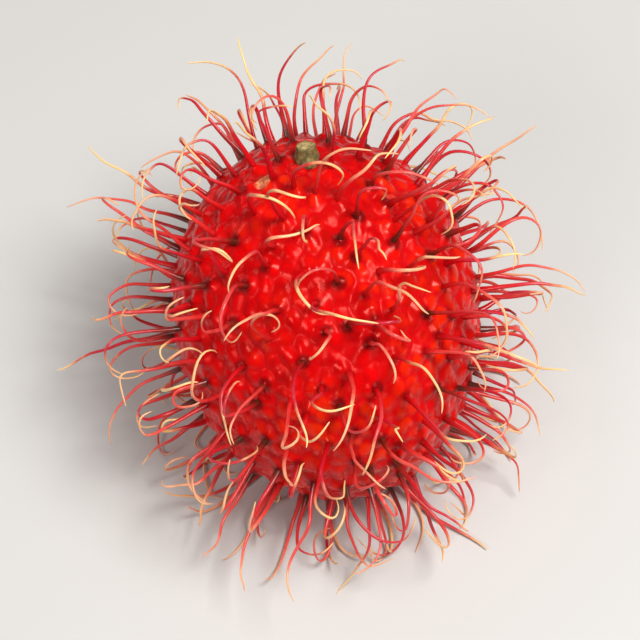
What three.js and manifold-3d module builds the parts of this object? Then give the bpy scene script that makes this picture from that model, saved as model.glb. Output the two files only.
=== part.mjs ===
// A picked rambutan lying on its side: an ovoid fruit bristling with soft, hooked spines, and the corky
// stub of its stalk. Millimetres, +Z up. The long axis runs along Y, with the stalk end at +Y, a little
// raised, and the origin is the middle of the small flat spot that the fruit rests on.
import * as THREE from "three";
import { mergeVertices } from "three/addons/utils/BufferGeometryUtils.js";
import Module from "manifold-3d";

// The rind, without its spines.
const RIND_LENGTH = 47;
const RIND_WIDTH = 38.6;
const RIND_HEIGHT = 37.6;
const STALK_END_FULLNESS = 0.035; // how much fatter the stalk half is than the tip half, as a share
const UNEVENNESS = 0.012; // low swellings of the rind, as a share of its radius
const STALK_END_LIFT = THREE.MathUtils.degToRad(30);
const FLAT_SPOT_DEPTH = 0.8; // how far the soft rind is pressed in where it rests
const RIND_DETAIL = 5; // splits of each icosahedron edge

// The spines (spinterns).
const SPINE_COUNT = 246; // places on the rind, of which the stalk and the flat spot take a few
const PLACE_JITTER = 0.28; // of the spacing between places
const SPINE_LENGTH = 12;
const SPINE_LENGTH_SPREAD = 6;
const SPINE_HALF_WIDTH = 0.47; // just above the root
const TIP_HALF_WIDTH = 0.15;
const ROOT_FLARE = 0.34; // added to the half width where the spine leaves the rind
const FLARE_HEIGHT = 1.3; // the flare dies away over this height
const ROOT_SINK = 1.5; // how deep the root is sunk in the rind
const FLATNESS = 1.3; // width over thickness: a spine is a strap that bends across its thin way
const LEAN = 0.38; // sideways share of a spine's first direction, at most
const HOOK_TURN = THREE.MathUtils.degToRad(50);
const HOOK_TURN_SPREAD = THREE.MathUtils.degToRad(185);
const HOOK_START = 0.12;
const HOOK_START_SPREAD = 0.42;
const HOOK_HEADING = THREE.MathUtils.degToRad(25); // from the way to the fruit's tip, as a whorl
const HOOK_HEADING_SPREAD = THREE.MathUtils.degToRad(190);
const SWAY = 0.22; // sideways swing of a spine's line
const KINK_TURN = THREE.MathUtils.degToRad(70); // the sharpest of the sudden bends, most being slight
const KINK_START = 0.35; // the nearest to the root that a kink can be
const KINK_START_SPREAD = 0.45;
const SPINE_STEPS = 24; // steps of a spine's line
const SPINE_RINGS = 5; // from the root to the point
const RINGS_AT_BENDS = 0.3; // how strongly the rings crowd where a spine bends, per radian
const SPINE_SIDES = 3;
const SIDES_FACTOR = 1.22; // a three-sided spine drawn this much wider looks as thick as a round one
const SPREAD_ON_SURFACE = 0.9; // how strongly a spine pressed on the surface turns away from the fruit
const SURFACE_CLEARANCE = 0.25; // all the low spines stay this clear of the surface, but three
const BEARING_TURNS = [35, 155, 275].map(THREE.MathUtils.degToRad); // where those three bear on it
const BEARING_REACH = 2; // a spine whose tip is this low can be pressed on the surface
const BARE_ROUND_FLAT_SPOT = 0.7; // no spine roots lower than this

// The stub of the stalk, in a dimple beside the stalk end's pole.
const STUB_OFF_POLE = THREE.MathUtils.degToRad(32);
const STUB_RADIUS = 1.4;
const STUB_HEIGHT = 1.8;
const STUB_SINK = 0.9;
const STUB_GAP = 0.3;
const LOBE_RADIUS = 0.95; // the small barren lobe grown beside the stalk
const LOBE_OFFSET = 1.9;
const BARE_ROUND_STUB = 3.3;

const GOLDEN_ANGLE = Math.PI * (3 - Math.sqrt(5));
const UP = new THREE.Vector3(0, 0, 1);
const TO_TIP = new THREE.Vector3(0, -1, 0);

const wasm = await Module();
wasm.setup();

// Park and Miller's random numbers, from 0 to 1.
let state = 20177;
function random() {
  state = (state * 48271) % 2147483647;
  return state / 2147483647;
}

// From the fruit's own frame, centred and level, to the way it lies.
const halfLength = RIND_LENGTH / 2;
const halfWidth = RIND_WIDTH / 2;
const halfHeight = RIND_HEIGHT / 2;
const lowest = Math.hypot(halfLength * Math.sin(STALK_END_LIFT), halfHeight * Math.cos(STALK_END_LIFT));
const lowestAlong =
  ((halfHeight ** 2 - halfLength ** 2) * Math.sin(STALK_END_LIFT) * Math.cos(STALK_END_LIFT)) / lowest;
const asItLies = new THREE.Matrix4()
  .makeRotationX(STALK_END_LIFT)
  .setPosition(0, -lowestAlong, lowest - FLAT_SPOT_DEPTH);

function rindPoint(way) {
  const round = Math.atan2(way.z, way.x);
  const swelling = UNEVENNESS * (1 - way.y ** 2) * (Math.sin(3 * round + 2 * way.y) + Math.cos(2 * round));
  const fullness = 1 + STALK_END_FULLNESS * way.y + swelling;
  return new THREE.Vector3(
    halfWidth * fullness * way.x,
    halfLength * way.y,
    halfHeight * fullness * way.z,
  ).applyMatrix4(asItLies);
}

function rindNormal(way) {
  return new THREE.Vector3(way.x / halfWidth, way.y / halfLength, way.z / halfHeight)
    .transformDirection(asItLies);
}

// A closed three.js geometry as a manifold-3d solid.
function solidOf(geometry) {
  const bare = geometry.clone();
  bare.deleteAttribute("normal");
  bare.deleteAttribute("uv");
  const merged = mergeVertices(bare, 1e-4);
  return new wasm.Manifold(
    new wasm.Mesh({
      numProp: 3,
      vertProperties: merged.attributes.position.array,
      triVerts: new Uint32Array(merged.index.array),
    }),
  );
}

function geometryOf(solid) {
  const mesh = solid.getMesh();
  const geometry = new THREE.BufferGeometry()
    .setAttribute("position", new THREE.BufferAttribute(mesh.vertProperties, mesh.numProp))
    .setIndex(new THREE.BufferAttribute(mesh.triVerts, 1));
  geometry.computeVertexNormals();
  return geometry;
}

// Moves each vertex of a geometry to where place(vertex) says.
function reshaped(geometry, place) {
  const position = geometry.attributes.position;
  const vertex = new THREE.Vector3();
  for (let i = 0; i < position.count; i++) {
    const moved = place(vertex.fromBufferAttribute(position, i));
    position.setXYZ(i, moved.x, moved.y, moved.z);
  }
  return geometry;
}

function rindSolid() {
  const ball = new THREE.IcosahedronGeometry(1, RIND_DETAIL);
  return solidOf(reshaped(ball, (vertex) => rindPoint(vertex.clone().normalize())));
}

// Directions spread evenly over the fruit on a golden spiral, from the stalk end to the tip, each a little
// out of its place.
function spineWays() {
  const ways = [];
  const spacing = Math.sqrt((4 * Math.PI) / SPINE_COUNT);
  for (let i = 0; i < SPINE_COUNT; i++) {
    const along = 1 - (2 * (i + 0.5)) / SPINE_COUNT;
    const round = i * GOLDEN_ANGLE;
    const ring = Math.sqrt(1 - along ** 2);
    const jitter = [random(), random(), random()].map((draw) => spacing * PLACE_JITTER * (2 * draw - 1));
    ways.push(
      new THREE.Vector3(
        ring * Math.cos(round) + jitter[0],
        along + jitter[1],
        ring * Math.sin(round) + jitter[2],
      ).normalize(),
    );
  }
  return ways;
}

function halfWidthAt(height, share) {
  const taper = TIP_HALF_WIDTH + (SPINE_HALF_WIDTH - TIP_HALF_WIDTH) * (1 - share) ** 1.1;
  return taper + ROOT_FLARE * Math.exp(-((height / FLARE_HEIGHT) ** 2));
}

// A spine's line from its sunk root: it leaves the rind nearly square, then bends into a hook. Where it
// would pass through the surface that the fruit lies on, it is pressed along it, away from the fruit.
function spineLine(way) {
  const start = rindPoint(way);
  const normal = rindNormal(way);
  const toTip = TO_TIP.clone().projectOnPlane(normal).normalize();
  const across = new THREE.Vector3().crossVectors(normal, toTip);
  const heading = (angle) =>
    toTip.clone().multiplyScalar(Math.cos(angle)).addScaledVector(across, Math.sin(angle));

  const length = SPINE_LENGTH + SPINE_LENGTH_SPREAD * random();
  const lean = LEAN * random();
  const leanHeading = 2 * Math.PI * random();
  const hookTurn = HOOK_TURN + HOOK_TURN_SPREAD * random();
  const hookHeading = HOOK_HEADING + HOOK_HEADING_SPREAD * (random() - 0.5);
  const hookStart = HOOK_START + HOOK_START_SPREAD * random();
  const sway = SWAY * (2 * random() - 1);
  const kinkTurn = KINK_TURN * (2 * random() - 1) ** 3;
  const kinkStart = KINK_START + KINK_START_SPREAD * random();

  const rise = normal.clone().addScaledVector(heading(leanHeading), lean).normalize();
  const hook = heading(hookHeading).projectOnPlane(rise).normalize();
  const side = new THREE.Vector3().crossVectors(rise, hook);
  const away = new THREE.Vector3(start.x, start.y, 0).normalize();
  const step = length / SPINE_STEPS;
  const point = start.clone().addScaledVector(normal, -ROOT_SINK);
  const line = [{ point: point.clone(), forward: normal, side, halfWidth: halfWidthAt(0, 0) }];
  point.copy(start);
  for (let i = 1; i <= SPINE_STEPS; i++) {
    const share = i / SPINE_STEPS;
    const hooked = Math.max(0, (share - hookStart) / (1 - hookStart));
    const turn = hookTurn * hooked ** 1.3 + (share > kinkStart ? kinkTurn : 0);
    const forward = rise
      .clone()
      .multiplyScalar(Math.cos(turn))
      .addScaledVector(hook, Math.sin(turn))
      .addScaledVector(side, sway * Math.sin(2 * Math.PI * share))
      .normalize();
    const halfWidth = halfWidthAt(share * length, share);
    const floor = halfWidth * SIDES_FACTOR + SURFACE_CLEARANCE;
    if (point.z + forward.z * step < floor) {
      const drop = THREE.MathUtils.clamp((floor - point.z) / step, -1, 1);
      forward.z = 0;
      forward.normalize().addScaledVector(away, SPREAD_ON_SURFACE).setZ(0).normalize();
      forward.multiplyScalar(Math.sqrt(1 - drop ** 2)).setZ(drop);
    }
    point.addScaledVector(forward, step);
    line.push({ point: point.clone(), forward, side, halfWidth });
  }
  return line;
}

// Presses the tips of three low spines, spread round the fruit, on the surface, so that it doesn't rock.
function pressTips(lines) {
  const low = lines.filter((line) => line[SPINE_STEPS].point.z < BEARING_REACH);
  for (const turn of BEARING_TURNS) {
    const way = new THREE.Vector3(Math.cos(turn), Math.sin(turn), 0);
    const reach = (line) => line[SPINE_STEPS].point.dot(way);
    const furthest = low.reduce((best, line) => (reach(line) > reach(best) ? line : best));
    const drop = furthest[SPINE_STEPS].point.z;
    furthest.forEach(({ point }, i) => (point.z -= drop * (i / SPINE_STEPS) ** 4));
  }
}

// The steps of a spine's line that carry a ring: spread along it, and closer where it bends.
function ringSteps(line) {
  const reach = [0];
  for (let i = 1; i <= SPINE_STEPS; i++) {
    const bend = line[i].forward.angleTo(line[i - 1].forward);
    reach.push(reach[i - 1] + 1 / SPINE_STEPS + RINGS_AT_BENDS * bend);
  }
  const steps = [0];
  for (let ring = 1; ring < SPINE_RINGS; ring++) {
    const step = reach.findIndex((share) => share >= (reach[SPINE_STEPS] * ring) / SPINE_RINGS);
    steps.push(THREE.MathUtils.clamp(step, steps[ring - 1] + 1, SPINE_STEPS - SPINE_RINGS + ring));
  }
  return [...steps, SPINE_STEPS];
}

// A cone with few sides, its rings carried to steps of the spine's line.
function spineSolid(line) {
  const cone = new THREE.ConeGeometry(1, 1, SPINE_SIDES, SPINE_RINGS);
  const steps = ringSteps(line);
  return solidOf(
    reshaped(cone, (vertex) => {
      const ring = Math.round((vertex.y + 0.5) * SPINE_RINGS);
      const { point, forward, side, halfWidth } = line[steps[ring]];
      const wide = side.clone().projectOnPlane(forward).normalize();
      const thin = new THREE.Vector3().crossVectors(wide, forward);
      const reach = ring === SPINE_RINGS ? 0 : (halfWidth * SIDES_FACTOR) / (1 - ring / SPINE_RINGS);
      return point
        .clone()
        .addScaledVector(wide, vertex.x * reach)
        .addScaledVector(thin, (vertex.z * reach) / FLATNESS);
    }),
  );
}

// The stub's place: where it stands on the rind, and its frame, with +Z out of the fruit.
function stubPlace() {
  const way = new THREE.Vector3(0, Math.cos(STUB_OFF_POLE), Math.sin(STUB_OFF_POLE));
  const turn = new THREE.Quaternion().setFromUnitVectors(UP, rindNormal(way));
  return new THREE.Matrix4().compose(rindPoint(way), turn, new THREE.Vector3(1, 1, 1));
}

// A turned profile, given from its foot to its top, as a solid with +Z along its axis.
function turned(profile, sides) {
  const points = profile.map(([radius, height]) => new THREE.Vector2(radius, height));
  return solidOf(new THREE.LatheGeometry(points, sides).rotateX(Math.PI / 2));
}

function stubSolid(place) {
  const stalk = turned(
    [
      [0, -STUB_SINK],
      [STUB_RADIUS * 0.85, -STUB_SINK],
      [STUB_RADIUS * 1.08, 0],
      [STUB_RADIUS, STUB_HEIGHT * 0.75],
      [STUB_RADIUS * 0.82, STUB_HEIGHT],
      [STUB_RADIUS * 0.45, STUB_HEIGHT * 0.72],
      [0, STUB_HEIGHT * 0.7],
    ],
    14,
  );
  const lobe = new THREE.SphereGeometry(LOBE_RADIUS, 12, 8)
    .scale(1, 1, 1.15)
    .translate(0, -LOBE_OFFSET, LOBE_RADIUS * 0.35);
  return stalk.add(solidOf(lobe)).transform(place.elements);
}

// The hollow that the stub stands in, wider than it by the gap.
function dimpleSolid(place) {
  const wall = STUB_RADIUS * 1.08 + STUB_GAP;
  const floor = STUB_SINK + STUB_GAP;
  const well = turned([[0, -floor], [wall, -floor], [wall, STUB_HEIGHT], [0, STUB_HEIGHT]], 14);
  const lobeWell = new THREE.SphereGeometry(LOBE_RADIUS + STUB_GAP, 12, 8)
    .scale(1, 1, 1.15)
    .translate(0, -LOBE_OFFSET, LOBE_RADIUS * 0.35);
  return well.add(solidOf(lobeWell)).transform(place.elements);
}

function surfaceBelow() {
  const reach = 3 * RIND_LENGTH;
  return solidOf(new THREE.BoxGeometry(reach, reach, RIND_HEIGHT).translate(0, 0, -RIND_HEIGHT / 2));
}

function fruitSolid(place) {
  const stub = new THREE.Vector3().setFromMatrixPosition(place);
  const lines = [];
  for (const way of spineWays()) {
    const root = rindPoint(way);
    const line = spineLine(way);
    if (root.z > BARE_ROUND_FLAT_SPOT && root.distanceTo(stub) > BARE_ROUND_STUB) lines.push(line);
  }
  pressTips(lines);
  const bodies = wasm.Manifold.union([rindSolid(), ...lines.map(spineSolid)])
    .subtract(dimpleSolid(place))
    .subtract(surfaceBelow())
    .decompose();
  return bodies.reduce((largest, body) => (body.volume() > largest.volume() ? body : largest));
}

function meshOf(name, solid, material) {
  const mesh = new THREE.Mesh(geometryOf(solid), material);
  mesh.name = name;
  return mesh;
}

const redRind = new THREE.MeshStandardMaterial({ color: 0xb8141a, roughness: 0.45, metalness: 0 });
const corkyStalk = new THREE.MeshStandardMaterial({ color: 0x8a7034, roughness: 0.85, metalness: 0 });

const place = stubPlace();
const rambutan = new THREE.Group();
rambutan.add(meshOf("fruit", fruitSolid(place), redRind));
rambutan.add(meshOf("stalk_stub", stubSolid(place), corkyStalk));

export default rambutan;
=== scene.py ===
"""A picked rambutan lying on its side: a pimpled crimson rind, soft hooked spines and a corky stalk stub.

The sizes are those of the solids that it is built round, so each spine of the solids is here again, finer,
with the rest of the spines between them. Lengths are in metres, and MM is one millimetre.
"""

import math

import bmesh
import bpy
from bpy.props import FloatProperty, FloatVectorProperty, IntProperty, PointerProperty
from mathutils import Matrix, Vector, kdtree, noise


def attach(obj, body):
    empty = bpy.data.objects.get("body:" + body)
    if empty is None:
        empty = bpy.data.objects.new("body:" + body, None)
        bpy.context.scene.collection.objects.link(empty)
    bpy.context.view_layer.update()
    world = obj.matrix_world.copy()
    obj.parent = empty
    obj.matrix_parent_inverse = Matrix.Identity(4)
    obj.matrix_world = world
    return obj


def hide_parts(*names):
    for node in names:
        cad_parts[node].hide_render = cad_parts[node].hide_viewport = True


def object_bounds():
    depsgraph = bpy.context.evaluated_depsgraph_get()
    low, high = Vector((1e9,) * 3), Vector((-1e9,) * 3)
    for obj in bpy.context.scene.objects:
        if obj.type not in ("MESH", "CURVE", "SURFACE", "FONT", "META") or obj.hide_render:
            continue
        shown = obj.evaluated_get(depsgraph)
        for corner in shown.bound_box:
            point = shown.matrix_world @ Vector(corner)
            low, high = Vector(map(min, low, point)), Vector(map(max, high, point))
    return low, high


bl_info = {
    "name": "Rambutan",
    "version": (1, 0, 0),
    "blender": (4, 5, 0),
    "location": "View3D > Sidebar > Rambutan",
    "description": "Builds a picked rambutan with its spines and stalk stub, on a plain floor",
    "category": "Add Mesh",
}

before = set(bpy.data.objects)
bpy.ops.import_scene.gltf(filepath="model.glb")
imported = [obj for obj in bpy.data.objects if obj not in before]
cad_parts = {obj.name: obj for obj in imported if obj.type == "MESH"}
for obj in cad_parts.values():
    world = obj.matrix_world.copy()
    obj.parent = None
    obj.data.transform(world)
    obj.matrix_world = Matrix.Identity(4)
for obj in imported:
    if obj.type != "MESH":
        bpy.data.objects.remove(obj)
CAD_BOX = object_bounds()

MM = 0.001
GOLDEN_ANGLE = math.pi * (3 - math.sqrt(5))
TO_TIP = Vector((0, -1, 0))

# The rind, as the solids have it.
STALK_END_FULLNESS = 0.035
UNEVENNESS = 0.012
STALK_END_LIFT = math.radians(30)
FLAT_SPOT_DEPTH = 0.8 * MM

# The spines' rule, as the solids have it.
RANDOM_SEED = 20177
PLACE_JITTER = 0.28
SPINE_TAPER = 1.1
ROOT_FLARE = 0.34 * MM
FLARE_HEIGHT = 1.3 * MM
ROOT_SINK = 1.5 * MM
FLATNESS = 1.3
LEAN = 0.38
HOOK_TURN = math.radians(50)
HOOK_TURN_SPREAD = math.radians(185)
HOOK_START = 0.12
HOOK_START_SPREAD = 0.42
HOOK_HEADING = math.radians(25)
HOOK_HEADING_SPREAD = math.radians(190)
HOOK_TIGHTENING = 1.3
SWAY = 0.22
KINK_TURN = math.radians(70)
KINK_RARITY = 3
KINK_START = 0.35
KINK_START_SPREAD = 0.45
SPINE_STEPS = 24
SIDES_FACTOR = 1.22
SPREAD_ON_SURFACE = 0.9
SURFACE_CLEARANCE = 0.25 * MM
BEARING_TURNS = [math.radians(turn) for turn in (35, 155, 275)]
BEARING_REACH = 2 * MM
BEARING_BEND = 4
BARE_ROUND_FLAT_SPOT = 0.7 * MM
BARE_ROUND_STUB = 3.3 * MM

# The stub's place, as the solids have it.
STUB_OFF_POLE = math.radians(32)
STUB_SINK = 0.9 * MM
LOBE_OFFSET = 1.9 * MM
LOBE_LIFT = 0.35
LOBE_STRETCH = 1.15

# The spines, finer than the solids'. The noise is read at three places far apart, one for each axis.
SPINE_SIDES = 5
SPINE_RINGS = 12
SLIMNESS = 0.84
TIP_TAPER = 0.6
ABOVE_FLOOR = 0.02 * MM
BEND_LENGTH = 3.5 * MM
BEND_REACH = 1.1 * MM
BENDS_APART = [Vector((0, 0, metres)) for metres in (0, 0.3, 0.6)]

# The browner a spine's shade, which goes from 0 to 1, the deeper the painted shade at its root and on the
# rind round it.
LEAST_ROOT_PAINTED_SHADE = 0.25
ROOT_PAINTED_SHADE_FROM = 0.15
ROOT_PAINTED_SHADE_OVER = 0.5

# The rind's low relief. A third of a form is left at its radius or half width, and it fades out past that.
RIND_CUTS = 125
AREA_POWER = 1.6
PIMPLE_JITTER = 0.3
PIMPLE_SQUEEZE = 0.76
PIMPLE_CREASE = 6
PIMPLE_REACH = 0.62
PIMPLE_SIZE = 0.55
PIMPLE_SIZE_SPREAD = 0.45
PIMPLES_NEAR = 4
MOUND_HEIGHT = 0.6 * MM
MOUND_RADIUS = 1.15 * MM
FURROW_HALF_WIDTH = 0.9 * MM
FURROW_OFF_ROOT = 1.5 * MM
WAVE_HEIGHT = 0.09 * MM
WAVE_LENGTH = 3 * MM
SEAM_DEPTH = 0.12 * MM
SEAM_HALF_WIDTH = 0.55 * MM
SEAM_SLANT = 0.08
SEAM_WANDER = 1.2 * MM
SEAM_WANDER_LENGTH = 9 * MM
DIMPLE_DEPTH = 0.9 * MM
DIMPLE_RADIUS = 2 * MM
DIMPLE_RIM_HEIGHT = 0.25 * MM
DIMPLE_RIM_RADIUS = 2.7 * MM
DIMPLE_RIM_HALF_WIDTH = 0.6 * MM
COLLAR_SHADE_RADIUS = 1 * MM
SCAR_WAY = Vector((-0.31, 0.75, 0.585))
SCAR_RADIUS = 1.3 * MM
SCAR_FLATTENING = 0.6
RAGGEDNESS = 0.5 * MM
RAG_LENGTH = 0.9 * MM

# How much painted shade each form puts in the colour's relief, in which the top of a pimple is 1: in the
# furrows, round the roots, along the seam, and painted light and shade on the waves.
FURROW_PAINTED_SHADE = 0.2
ROOT_PAINTED_SHADE = 0.5
ROOT_PAINTED_SHADE_RADIUS = 0.9 * MM
SEAM_PAINTED_SHADE = 0.35
WAVE_PAINTED_LIGHT_AND_SHADE = 0.12

# The looks. The first points to the side toward the key light, and is as long as the painted light, a warmer
# colour, that the skin gains in a metre that way. The mottle moves the colours of a spine by a share of its
# length.
TO_THE_LIT_SIDE = Vector((5, -4, 0))
SCAR_DULLNESS = 0.35
MOTTLE_REACH = 0.3
HUE_FOLDS = 7.3

# The stub's bark and torn end, finer than the solids'. Each torn ring is how far in, and how far up or down.
STALK_SIDES = 40
STALK_RINGS = 15
RIDGES = 5
RIDGE_HEIGHT = 0.05
FINE_RIDGES = 9
FINE_RIDGE_HEIGHT = 0.03
FOOT_SWELLING = 0.16
FOOT_HEIGHT = 0.6 * MM
STALK_TAPER = 0.12
BARK_ROUGHNESS = 0.1 * MM
BARK_GRAIN = 0.35 * MM
TORN_RINGS = [
    (0.2 * MM, 0.06 * MM),
    (0.2 * MM, -0.2 * MM),
    (0.2 * MM, -0.08 * MM),
    (0.25 * MM, 0.1 * MM),
    (0.25 * MM, 0.04 * MM),
]
TORN_FROM = 0.6
MIDDLE_OF_END = 0.05
TORN_EDGE = 0.95
TORN_EDGE_WIDTH = 0.25
TORN_ROUGHNESS = 0.22 * MM
TORN_GRAIN = 0.6 * MM
LOBE_ROUGHNESS = 0.16 * MM
LOBE_GRAIN = 0.5 * MM

# The stage. Each light has its place, its width and its share of the key light's power.
FLOOR_HALF_WIDTH = 1.5
FLOOR_SQUARES = 8
FLOOR_DROP = 0.02 * MM
LIGHTS = {
    "key": (Vector((0.15, -0.1, 0.41)), 0.17, 1),
    "fill": (Vector((-0.3, -0.24, 0.34)), 0.15, 0.33),
    "rim": (Vector((-0.25, 0.38, 0.3)), 0.25, 0.16),
}
WORLD_STRENGTH = 0.2
CAMERA_AZIMUTH = math.radians(-12)
CAMERA_ELEVATION = math.radians(57)
CAMERA_LENS = 183
AIM_OFF_MIDDLE = Vector((0, -3 * MM, -5 * MM))


def linear(srgb_hex):
    """An sRGB hex colour as the linear red, green and blue that a shader takes."""
    channels = [int(srgb_hex[i : i + 2], 16) / 255 for i in (1, 3, 5)]
    return tuple(c / 12.92 if c <= 0.04045 else ((c + 0.055) / 1.055) ** 2.4 for c in channels)


class RindSettings(bpy.types.PropertyGroup):
    """The sizes and colours of the rind"""

    length: FloatProperty(name="Length", description="Stalk end to tip", default=47 * MM, unit="LENGTH")
    width: FloatProperty(name="Width", description="Side to side", default=38.6 * MM, unit="LENGTH")
    height: FloatProperty(
        name="Height", description="Across the width and the length", default=37.6 * MM, unit="LENGTH"
    )
    pimple_spacing: FloatProperty(
        name="Pimple spacing", description="From pimple to pimple", default=1.85 * MM, unit="LENGTH"
    )
    pimple_height: FloatProperty(
        name="Pimple height", description="How far a pimple stands out", default=0.34 * MM, unit="LENGTH"
    )
    furrow_depth: FloatProperty(
        name="Furrow depth", description="Between the spines' mounds", default=0.07 * MM, unit="LENGTH"
    )
    colour: FloatVectorProperty(
        name="Colour", description="The ripe rind", default=linear("#D20205"), subtype="COLOR"
    )
    # Partly the rind's own warm patches, partly painted light on the side toward the key light.
    warm_and_lit_colour: FloatVectorProperty(
        name="Warm and lit colour", description="Warm patches and painted light", default=linear("#E83404"), subtype="COLOR"
    )
    cloud_colour: FloatVectorProperty(
        name="Cloud colour", description="Clouds of deep crimson", default=linear("#A00208"), subtype="COLOR"
    )
    # Painted shade deep in the furrows.
    furrow_shade_colour: FloatVectorProperty(
        name="Furrow shade", description="Deep in the furrows", default=linear("#C60207"), subtype="COLOR"
    )
    # Painted light on the pimples' tops.
    pimple_top_light_colour: FloatVectorProperty(
        name="Pimple top light", description="On top of the pimples", default=linear("#DC0307"), subtype="COLOR"
    )
    # Painted shade round a spine's root.
    collar_shade_colour: FloatVectorProperty(
        name="Collar shade", description="Round a spine's root", default=linear("#6E0206"), subtype="COLOR"
    )
    scar_colour: FloatVectorProperty(
        name="Scar colour", description="The dry scar", default=linear("#BC4C28"), subtype="COLOR"
    )
    scar_streak_colour: FloatVectorProperty(
        name="Scar streaks", description="The palest of the scar", default=linear("#F4A070"), subtype="COLOR"
    )
    glint_colour: FloatVectorProperty(
        name="Glint colour", description="Of the small glints", default=linear("#FF8478"), subtype="COLOR"
    )


class SpineSettings(bpy.types.PropertyGroup):
    """The number, sizes and colours of the spines"""

    count: IntProperty(name="Main places", description="For the spines that the solids have", default=246)
    filler_places: IntProperty(
        name="Places between", description="Places tried for the spines between the main ones", default=900
    )
    filler_gap: FloatProperty(
        name="Gap", description="The least from their roots to another", default=2.75 * MM, unit="LENGTH"
    )
    length: FloatProperty(name="Length", description="Of the shortest spine", default=12 * MM, unit="LENGTH")
    length_spread: FloatProperty(
        name="Length spread", description="Longest less shortest", default=6 * MM, unit="LENGTH"
    )
    half_width: FloatProperty(
        name="Half width", description="Just above the root", default=0.47 * MM, unit="LENGTH"
    )
    tip_half_width: FloatProperty(
        name="Tip half width", description="At the end of a spine", default=0.15 * MM, unit="LENGTH"
    )
    root_colour: FloatVectorProperty(
        name="Root colour", description="Where it leaves the rind", default=linear("#C8040A"), subtype="COLOR"
    )
    # Painted shade at the spines' roots.
    root_shade_colour: FloatVectorProperty(
        name="Root shade", description="The darkest of the roots", default=linear("#6E0206"), subtype="COLOR"
    )
    browned_colour: FloatVectorProperty(
        name="Browned colour", description="The browned roots", default=linear("#302818"), subtype="COLOR"
    )
    shaft_colour: FloatVectorProperty(
        name="Shaft colour", description="Along the middle", default=linear("#EA5C50"), subtype="COLOR"
    )
    crimson_shaft_colour: FloatVectorProperty(
        name="Crimson shaft", description="The reddest shafts", default=linear("#BC1A32"), subtype="COLOR"
    )
    tip_colour: FloatVectorProperty(
        name="Tip colour", description="The dry hooked end", default=linear("#F6CE8A"), subtype="COLOR"
    )
    peach_tip_colour: FloatVectorProperty(
        name="Peach tip", description="The least dry ends", default=linear("#F2A880"), subtype="COLOR"
    )


class StubSettings(bpy.types.PropertyGroup):
    """The sizes and colours of the stalk's stub"""

    radius: FloatProperty(name="Radius", description="Of the stalk", default=1.4 * MM, unit="LENGTH")
    height: FloatProperty(name="Height", description="Out of the rind", default=1.8 * MM, unit="LENGTH")
    lobe_radius: FloatProperty(
        name="Lobe radius", description="Of the small barren lobe", default=0.95 * MM, unit="LENGTH"
    )
    colour: FloatVectorProperty(
        name="Colour", description="Dry corky bark", default=linear("#8C7842"), subtype="COLOR"
    )
    torn_colour: FloatVectorProperty(
        name="Torn colour", description="Dry fibres at the end", default=linear("#BCA46C"), subtype="COLOR"
    )
    crack_colour: FloatVectorProperty(
        name="Crack colour", description="In the bark's cracks", default=linear("#4A3A1C"), subtype="COLOR"
    )


class StageSettings(bpy.types.PropertyGroup):
    """The floor's colour, the light and the camera's distance"""

    floor_colour: FloatVectorProperty(
        name="Floor colour", description="Plain pale board", default=linear("#CAC8C4"), subtype="COLOR"
    )
    key_power: FloatProperty(
        name="Key light", description="Power of the main light", default=2.22, unit="POWER"
    )
    camera_distance: FloatProperty(
        name="Camera distance", description="From the fruit", default=0.42, unit="LENGTH"
    )


class Random:
    """Park and Miller's random numbers, from 0 to 1, which the solids' rule draws in the same order."""

    MULTIPLIER = 48271
    MODULUS = 2**31 - 1

    def __init__(self):
        self.state = RANDOM_SEED

    def draw(self):
        """The next number, from 0 to 1."""
        self.state = (self.state * self.MULTIPLIER) % self.MODULUS
        return self.state / self.MODULUS

    def spread(self):
        """The next number, stretched to go from -1 to 1."""
        return 2 * self.draw() - 1


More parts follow.
